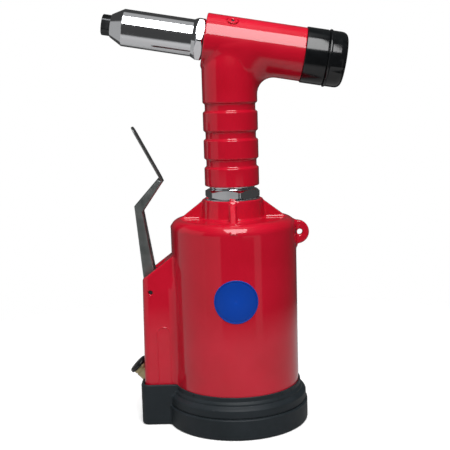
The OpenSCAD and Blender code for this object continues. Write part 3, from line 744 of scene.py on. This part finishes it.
def make_panel_line():
    """The thin arched line cast on the front of the valve housing."""
    half, arch_top, foot = 4.3 * MM, 66.4 * MM, 26 * MM
    bead_half, bead_height = 0.42, 0.28
    straight, bend, sides = 12, 16, 8
    turn = arch_top - half
    left, right = VALVE_X - half, VALVE_X + half
    path = [Vector((left, 0, foot + (turn - foot) * k / straight)) for k in range(straight + 1)]
    for k in range(1, bend):
        a = math.pi * k / bend
        path.append(Vector((VALVE_X - half * math.cos(a), 0, turn + half * math.sin(a))))
    path += [Vector((right, 0, turn - (turn - foot) * k / straight)) for k in range(straight + 1)]
    points, faces = [], []
    for i, here in enumerate(path):
        ahead = path[min(i + 1, len(path) - 1)] - path[max(i - 1, 0)]
        across = Vector((ahead.z, 0, -ahead.x)).normalized()
        for k in range(sides):
            a = 2 * math.pi * k / sides
            lift = Vector((0, -HOUSING_HALF - bead_height * MM * math.sin(a), 0))
            points.append(here + across * bead_half * MM * math.cos(a) + lift)
    for i in range(len(path) - 1):
        for k in range(sides):
            m = (k + 1) % sides
            here, ahead = i * sides, (i + 1) * sides
            faces.append([here + k, ahead + k, ahead + m, here + m])
    faces += [list(range(sides)), list(range((len(path) - 1) * sides, len(path) * sides))]
    tidy(finish_mesh("housing_panel_line", points, faces, "frame", None, "red_paint", 60))


make_air_cylinder()
make_handle()
make_panel_line()


# ---------------------------------------------------------------- rubber boot

BOOT_OUTLINE = mm(
    (-9, 0), (47.3, 0, 1.5), (47.3, 13.1, 0.4), (46.7, 13.7, 0.2), (45.7, 13.7), (45.7, 14.3),
    (46.3, 14.7, 0.2), (46.3, 19.2, 0.6), (45.7, 20, 0.3), (43.7, 21.6, 0.4), (43.7, 22.6, 0.4),
    (43.2, 23.4, 0.3), (42.6, 24.2, 0.5), (42.6, 27, 0.5), (-9, 27),
)


def boot_field(p):
    x, y, z = p[:, 0], p[:, 1], p[:, 2]
    r = np.hypot(x, y)
    wall, gap, shoe_top = 2.4 * MM, 0.1 * MM, 27.6 * MM
    form = outline_distance(r, z, BOOT_OUTLINE)
    plan = housing_plan(x, np.abs(y) - HOUSING_HALF - wall, HOUSING_X - wall, 5 * MM)
    shoe = round_common(plan, z - shoe_top, 0.8 * MM)
    shoe = round_common(shoe, -z, 1.6 * MM)
    form = np.maximum(round_join(form, shoe, 1.5 * MM), -z)
    inner = np.minimum(r - CYL_R - gap, plan + wall - gap)
    form = round_cut(form, np.maximum(inner, CYL_LOW - z), 0.3 * MM)
    inlet_notch = tube_along(INLET, p, 6.4 * MM, -8 * MM, 12 * MM)
    return round_cut(form, inlet_notch, 0.3 * MM)


def make_boot():
    cell = CELL * 0.75 * MM
    lips = (12.5 * MM, 27 * MM)
    grid = (
        spaced(low("rubber_boot").x - 2 * MM, top("rubber_boot").x + 2 * MM, cell),
        spaced(low("rubber_boot").y - 2 * MM, top("rubber_boot").y + 2 * MM, cell),
        spaced(-1.5 * MM, 30 * MM, cell, [lips], CELL * 0.3 * MM),
    )
    formed("rubber_boot_moulding", boot_field, grid, "frame", "rubber_boot", "boot_rubber")


make_boot()


# ---------------------------------------------------------------- trigger lever

LEVER_CHEEK = [(a * MM, b * MM) for a, b in (
    (-59.45, 86.2), (-64.6, 146.6), (-48.5, 164.4), (-45.1, 162.2), (-58.9, 142.6),
    (-51.4, 95.0), (-47.1, 86.7), (-47.1, 85.2), (-58.4, 85.2),
)]
LEVER_HOLLOW = [(a * MM, b * MM) for a, b in (
    (-57.95, 87.4), (-62.9, 146.1), (-47.4, 163.25), (-42.1, 159.2), (-40.0, 140.0),
    (-40.0, 86.7), (-58.0, 86.7),
)]


def paddle_field(x, side, z):
    """The flat paddle: straight sides from the channel, and a rounded end."""
    half_length, half_width, corner = 20.4 * MM, 8 * MM, 4.5 * MM
    lift, half_sheet, shoulder = 0.55 * MM, 0.4 * MM, 4 * MM
    along = Vector((-18.0, 0, 34.5)).normalized()
    ox, oz = -45.1 * MM, 162.4 * MM
    u = (x - ox) * along.x + (z - oz) * along.z
    v = -(x - ox) * along.z + (z - oz) * along.x
    sheet = np.abs(v - lift) - half_sheet
    past_end = np.abs(u - half_length) - half_length + corner
    end = soft_corner(past_end, side - half_width + corner, corner)
    start = np.maximum(side - half_width + np.maximum(shoulder - u, 0) * 0.5, -u)
    return round_common(sheet, np.where(u < half_length, start, end), 0.35 * MM)


def lever_field(p):
    x, y, z = p[:, 0], p[:, 1], p[:, 2]
    side = np.abs(y)
    half_outer, half_inner, pin_r = 6 * MM, 4.5 * MM, 1.3 * MM
    cheek = outline_distance(x, z, LEVER_CHEEK)
    hollow = outline_distance(x, z, LEVER_HOLLOW)
    channel = round_common(cheek, side - half_outer, 1.3 * MM)
    inside = round_common(hollow, side - half_inner, 0.4 * MM)
    channel = round_cut(channel, inside, 0.25 * MM)
    form = round_join(channel, paddle_field(x, side, z), 0.5 * MM)
    return round_cut(form, np.hypot(x - PIVOT.x, z - PIVOT.z) - pin_r, 0.15 * MM)


def make_lever():
    cell = CELL * 0.45 * MM
    grid = (
        spaced(low("trigger_lever").x - 2 * MM, top("trigger_lever").x + 2 * MM, cell),
        spaced(low("trigger_lever").y - 1.5 * MM, top("trigger_lever").y + 1.5 * MM, cell),
        spaced(low("trigger_lever").z - 2 * MM, top("trigger_lever").z + 2 * MM, cell),
    )
    formed("trigger_lever_sheet", lever_field, grid, "trigger", "trigger_lever", "trigger_steel")


make_lever()


# ---------------------------------------------------------------- turned pieces, in millimetres

def make_nose():
    sleeve_r, hex_low, hex_high = 11.85, -20.8, -16.2
    sleeve = mm(
        (9.6, hex_high + 6.4), (11.0, hex_high + 6.4, 0.3), (11.0, hex_high, 0.2),
        (13.0, hex_high), (15.01, hex_high), (15.01, hex_low), (13.0, hex_low, 0),
        (13.0, hex_low - 0.2, 0.1), (sleeve_r, -23.3, 0.5), (sleeve_r, -68.2, 0.8),
        (7.3, -76.2, 0.5), (4.5, -76.2, 0.2), (4.5, -70.0), (9.6, -66.0),
    )
    wrench = hexagon(26 * MM, hex_low * MM, hex_high * MM, math.radians(36))

    def wrench_stretch(angle, r, z):
        inside = hex_low * MM - 1e-6 <= z <= hex_high * MM + 1e-6
        return wrench(angle, r, z) if inside else (r, z)

    lathe("nose_housing_sleeve", sleeve, HEAD, "frame", "nose_housing", "chrome",
          count=216, shape=wrench_stretch, sharp=24)

    face, back = -81.88, -76.22
    tip = mm(
        (1.75, face, 0), (3.2, face, 0.3), (6.0, face), (6.94, -81.0), (6.94, back), (6.0, back),
        (4.45, back), (4.45, -69.5, 0.2), (2.9, -69.5), (2.9, -62.2, 0.2), (1.75, -62.2),
    )
    tip_hexagon = hexagon(12 * MM, face * MM, -75.0 * MM, 0.0, 0.25 * MM)

    def tip_stretch(angle, r, z):
        outside = z < -76.2 * MM and r > 5.9 * MM
        return tip_hexagon(angle, r, z) if outside else (r, z)

    lathe("nosepiece_tip", tip, HEAD, "frame", "nose_piece", "black_steel",
          shape=tip_stretch, sharp=24)


def make_lock_nut():
    bottom, face = 150.2, 156.0
    outline = mm((15.05, bottom, 0), (16.25, bottom), (18.77, bottom),
                 (18.77, face), (16.25, face), (15.05, face, 0))
    shape = hexagon(32.5 * MM, bottom * MM, face * MM, math.radians(45.7))
    lathe("lock_nut_hexagon", outline, UPRIGHT, "frame", "lock_nut", "chrome",
          count=216, shape=shape, sharp=24)


def make_neck():
    """The neck tube, with turned threads where it shows between the nut and the handle."""
    pitch, crest, root = 1.5, 15.0, 14.3
    corners = [(8, 176), (8, 122), (11, 122), (11, 104), (14.4, 104), (15, 104.6), (15, 126, 0),
               (24, 126), (24, 131), (15, 131)]
    z = 132.0
    while z < 174:
        corners += [(crest, z), (crest, z + 0.3), (root, z + 0.75), (crest, z + 1.2)]
        z += pitch
    corners += [(15, 175.2), (14.2, 176)]
    lathe("threaded_neck", mm(*corners), UPRIGHT, "frame", "neck_tube", "chrome",
          count=120, sharp=20)


def make_rear():
    cap = mm(
        (5.05, 42), (12.5, 42, 0.3), (13.95, 43), (13.95, 44.5), (12.4, 44.5), (12.4, 46.5),
        (13.95, 46.5), (13.95, 48.95), (17.9, 48.95, 0.5), (17.9, 62.8, 0.8), (17.4, 63.4, 0.2),
        (14.5, 63.4), (14.5, 65), (13.3, 65), (13.3, 66.6), (14.5, 66.6), (14.5, 67.6, 0.3),
        (13.9, 68), (12, 68, 0.3), (12, 53), (5.05, 53),
    )
    lathe("rear_cap_body", cap, HEAD, "frame", "rear_cap", "black_cap", count=180)
    cup = mm(
        (0, 73.4), (14.9, 73.4, 0.8), (14.9, 63.7, 0.3), (18.2, 63.7, 0.3), (18.5, 64.1, 0.3),
        (18.5, 64.9, 0.3), (17.9, 65.5, 0.4), (17.9, 75.6, 4.6), (7.8, 75.6, 0.4),
        (7.4, 75.1, 0.3), (0, 75.1),
    )

    def notched(angle, r, z):
        """Six shallow finger notches round the closed end."""
        count, depth, start, ramp, outer = 6, 0.5 * MM, 70 * MM, 1.5 * MM, 16 * MM
        dip = max(0.0, math.cos(count * angle + 0.6) - 0.82) / 0.18
        reach = min(1.0, max(0.0, (z - start) / ramp))
        return (r - depth * dip * reach, z) if r > outer else (r, z)

    lathe("collector_cup_body", cup, HEAD, "collector", "collector_cup", "black_cap",
          count=288, shape=notched, sharp=40)


def make_inlet():
    bush = mm(
        (4.3, 6.9, 0), (5.2, 6.9, 0.2), (5.2, 5.1), (5.8, 5.1, 0.2), (5.8, 3.4, 0.2),
        (5.3, 3.2, 0.1), (5.3, 2.6, 0.1), (5.8, 2.4, 0.2), (5.8, -2.6), (5.2, -2.6), (5.2, -8),
        (4.3, -8, 0),
    )
    lathe("air_inlet_bush", bush, INLET, "frame", "air_inlet", "brass", count=96)
    cap = mm(
        (0, 7.2), (5.25, 7.2), (5.25, 5.4), (6.5, 5.4, 0.2), (6.95, 5.8, 0.3), (6.95, 7.2, 0.6),
        (6.1, 7.9, 0.5), (0, 7.9),
    )
    lathe("dust_cap_cup", cap, INLET, "inlet_cap", "dust_cap", "black_cap", count=96)


def make_bleed_screw():
    """The red oil screw, a dark disc almost filling its hexagonal socket as painted shade, and its seal washer."""
    place = bleed_place()
    socket_r, socket_flat = 1.3, 1.13
    screw = mm(
        (0, 14.6), (2.0, 14.6, 0.2), (2.45, 15.1), (2.45, 16.7), (3.3, 16.7, 0.1),
        (3.3, 17.3, 0.3), (1.55, 17.5, 0.1), (socket_r, 17.3), (socket_r, 15.8), (0, 15.8),
    )

    def socket(angle, r, z):
        """The socket's wall follows a hexagon."""
        off = angle % (math.pi / 3) - math.pi / 6
        wall = abs(r - socket_r * MM) < 1e-6
        return (socket_flat * MM / math.cos(off), z) if wall else (r, z)

    lathe("oil_screw", screw, place, "frame", "bleed_screw", "red_paint", count=72, shape=socket)
    # painted shade: a dark rubber-look disc almost flush in the socket, standing in for the socket's shadowed
    # depth
    bottom = mm((0, 15.9), (1.1, 15.9), (1.1, 17.0), (0, 17.0))
    lathe("oil_screw_painted_shade_disc", bottom, place, "frame", None, "seal_rubber", count=48)
    washer = mm((2.55, 16.25, 0), (3.05, 16.25), (3.05, 16.65), (2.55, 16.65, 0))
    lathe("oil_screw_washer", washer, place, "frame", "bleed_washer", "brass", count=48)


make_nose()
make_lock_nut()
make_neck()
make_rear()
make_inlet()
make_bleed_screw()


# ---------------------------------------------------------------- badge

def make_badge():
    """A raised disc that follows the cylinder, with a slightly higher rim round it."""
    rings, steps = 14, 96
    outer_soft, inner_soft, off_wall, in_wall = 0.5 * MM, 0.2 * MM, 0.02 * MM, 0.05 * MM

    def wall(x):
        return math.sqrt(CYL_R ** 2 - x * x)

    def sheet(name, inner, outer, lift, replaced):
        points, faces = [], []
        for i in range(rings + 1):
            rho = inner + (outer - inner) * i / rings
            edge = min(1.0, (outer - rho) / outer_soft) * min(1.0, (rho - inner) / inner_soft)
            rise = lift * math.sqrt(max(0.0, 1 - (1 - edge) ** 2))
            for k in range(steps):
                a = 2 * math.pi * k / steps
                x = BADGE_CENTRE[0] + rho * math.cos(a)
                depth = wall(x) + off_wall + rise
                points.append((x, -depth, BADGE_CENTRE[1] + rho * math.sin(a)))
        base, last = len(points), rings * steps
        for first in (0, last):
            for x, _, z in points[first:first + steps]:
                points.append((x, -wall(x) + in_wall, z))
        for here in range(0, last, steps):
            ahead = here + steps
            for k in range(steps):
                m = (k + 1) % steps
                faces.append([here + k, here + m, ahead + m, ahead + k])
        for k in range(steps):
            m = (k + 1) % steps
            faces.append([k, m, base + m, base + k])
            faces.append([last + k, last + m, base + steps + m, base + steps + k])
            faces.append([base + k, base + m, base + steps + m, base + steps + k])
        tidy(finish_mesh(name, points, faces, "frame", replaced, "badge_blue", 50))

    sheet("badge_face", 0.001 * MM, BADGE_R - 0.9 * MM, 0.25 * MM, "badge")
    sheet("badge_rim", BADGE_R - 1.0 * MM, BADGE_R, 0.35 * MM, None)


make_badge()


# ---------------------------------------------------------------- spring copies

def spring(node):
    """A copy of a CAD spring, standing in its place on the frame."""
    source = frame["nodes"][node]
    piece = bpy.data.objects.new(node + "_coil", source.data.copy())
    bpy.context.scene.collection.objects.link(piece)
    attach(piece, "frame")
    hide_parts(node)
    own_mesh(piece)


spring("return_spring")
spring("valve_spring")


# ---------------------------------------------------------------- floor, light and camera

def make_floor():
    """A floor that shows only the tool's shadow: white to the camera, and faded out round it."""
    reach, fade_from, fade_to = 4.0, 0.24, 0.36
    mesh = bpy.data.meshes.new("floor")
    corners = [(-reach, -reach, 0), (reach, -reach, 0), (reach, reach, 0), (-reach, reach, 0)]
    mesh.from_pydata(corners, [], [(0, 1, 2, 3)])
    floor = bpy.data.objects.new("floor", mesh)
    bpy.context.scene.collection.objects.link(floor)
    f = Finish("floor", Roughness=0.8, Specular_IOR_Level=0.1, Emission_Color=(1, 1, 1, 1))
    away = f.node("ShaderNodeVectorMath", {0: f.place}, operation="LENGTH").outputs["Value"]
    clear = f.node("ShaderNodeBsdfTransparent", {})
    seen = f.node("ShaderNodeLightPath", {}).outputs["Is Camera Ray"]
    grain = f.span(f.noise(0.4, 2.0), 0.3, 0.7, 0.38, 0.45)
    shade = f.node("ShaderNodeCombineColor", {"Red": grain, "Green": grain, "Blue": grain})
    f.link(f.blend(seen, shade.outputs[0], (0.9, 0.9, 0.9, 1)), "Base Color")
    f.link(f.maths("MULTIPLY", seen, 0.3), "Emission Strength")
    fade = f.node("ShaderNodeMixShader", {0: f.span(away, fade_from, fade_to, 0.0, 1.0)})
    f.tree.links.new(f.shader.outputs[0], fade.inputs[1])
    f.tree.links.new(clear.outputs[0], fade.inputs[2])
    f.tree.links.new(fade.outputs[0], f.tree.nodes["Material Output"].inputs["Surface"])
    mesh.materials.append(f.material)


def make_world():
    """White to the camera; in reflections a dim room with grey cards left, right and above.

    A card is a range of direction: side is the angle to the right of the front (-Y), height
    the direction's Z.
    """
    card, glow, room_light, edge = 0.42, 0.45, 0.07, 0.03
    world = bpy.data.worlds.new("studio")
    bpy.context.scene.world = world
    world.use_nodes = True
    tree = world.node_tree
    place = tree.nodes.new("ShaderNodeTexCoord")
    parts = tree.nodes.new("ShaderNodeSeparateXYZ")
    tree.links.new(place.outputs["Generated"], parts.inputs[0])

    def maths(kind, a, b):
        node = tree.nodes.new("ShaderNodeMath")
        node.operation = kind
        for socket, value in zip(node.inputs, (a, b)):
            if isinstance(value, bpy.types.NodeSocket):
                tree.links.new(value, socket)
            else:
                socket.default_value = value
        return node.outputs[0]

    def step(value, start, end):
        node = tree.nodes.new("ShaderNodeMapRange")
        node.interpolation_type = "SMOOTHSTEP"
        tree.links.new(value, node.inputs["Value"])
        node.inputs["From Min"].default_value = start
        node.inputs["From Max"].default_value = end
        return node.outputs[0]

    def band(value, start, end, soft):
        rising = step(value, start - soft, start + soft)
        falling = step(value, end + soft, end - soft)
        return maths("MULTIPLY", rising, falling)

    side = maths("ARCTAN2", parts.outputs["X"], maths("MULTIPLY", parts.outputs["Y"], -1.0))
    height = parts.outputs["Z"]
    walls = maths("MULTIPLY", band(side, -2.2, -0.99, edge), step(height, 0.62, 0.5))
    low_left = maths("MULTIPLY", band(side, -1.0, -0.42, edge), step(height, -0.08, -0.11))
    low_right = maths("MULTIPLY", band(side, 0.64, 0.87, edge), step(height, -0.15, -0.17))
    middle_right = maths("MULTIPLY", band(side, 0.28, 0.84, edge),
                         band(height, -0.16, -0.10, 0.01))
    ceiling = step(height, 0.93, 0.98)
    light = maths("MULTIPLY", maths("ADD", walls, low_left), card)
    light = maths("ADD", light, maths("MULTIPLY", maths("ADD", low_right, middle_right), card))
    light = maths("ADD", light, maths("MULTIPLY", ceiling, glow))
    light = maths("ADD", light, room_light)
    room = tree.nodes.new("ShaderNodeBackground")
    tree.links.new(light, room.inputs["Strength"])
    seen = tree.nodes["Background"]
    seen.inputs["Color"].default_value = (1, 1, 1, 1)
    path = tree.nodes.new("ShaderNodeLightPath")
    mix = tree.nodes.new("ShaderNodeMixShader")
    tree.links.new(path.outputs["Is Camera Ray"], mix.inputs[0])
    tree.links.new(room.outputs[0], mix.inputs[1])
    tree.links.new(seen.outputs[0], mix.inputs[2])
    tree.links.new(mix.outputs[0], tree.nodes["World Output"].inputs["Surface"])


def softbox(name, where, aim, width, height, watts, mirrored=True):
    lamp = bpy.data.lights.new(name, "AREA")
    lamp.shape = "RECTANGLE"
    lamp.size, lamp.size_y, lamp.energy = width, height, watts
    lamp.use_shadow = True
    holder = bpy.data.objects.new(name, lamp)
    bpy.context.scene.collection.objects.link(holder)
    holder.visible_glossy = mirrored
    holder.location = where
    holder.rotation_euler = (Vector(aim) - Vector(where)).to_track_quat("-Z", "Y").to_euler()


def make_camera():
    """The photo's camera, as it was fitted to the photo."""
    distance, height, side = 590 * MM, 220.5 * MM, -1.2 * MM
    pitch, roll, yaw = math.radians(8.55), math.radians(1.64), math.radians(-0.41)
    ahead = Vector((math.sin(yaw) * math.cos(pitch), math.cos(yaw) * math.cos(pitch),
                    -math.sin(pitch)))
    right = Vector((math.cos(yaw), -math.sin(yaw), 0))
    up = right.cross(ahead)
    rolled_right = right * math.cos(roll) - up * math.sin(roll)
    rolled_up = up * math.cos(roll) + right * math.sin(roll)
    data = bpy.data.cameras.new("camera")
    data.sensor_width = 36
    data.lens = 71.94
    data.clip_start = 0.01
    camera = bpy.data.objects.new("camera", data)
    bpy.context.scene.collection.objects.link(camera)
    eye = Vector((side, -distance, height))
    camera.matrix_world = placement(rolled_right, rolled_up, -ahead, eye)
    bpy.context.scene.camera = camera


make_floor()
make_world()
softbox("overhead", (0.08, -0.75, 1.08), (0, 0, 0.20), width=0.70, height=1.0, watts=17)
softbox("ceiling_fill", (0, 0.15, 1.5), (0, 0, 0.2), width=0.8, height=0.8, watts=10,
        mirrored=False)
make_camera()
bpy.context.scene.view_settings.view_transform = "Standard"

bpy.context.view_layer.update()
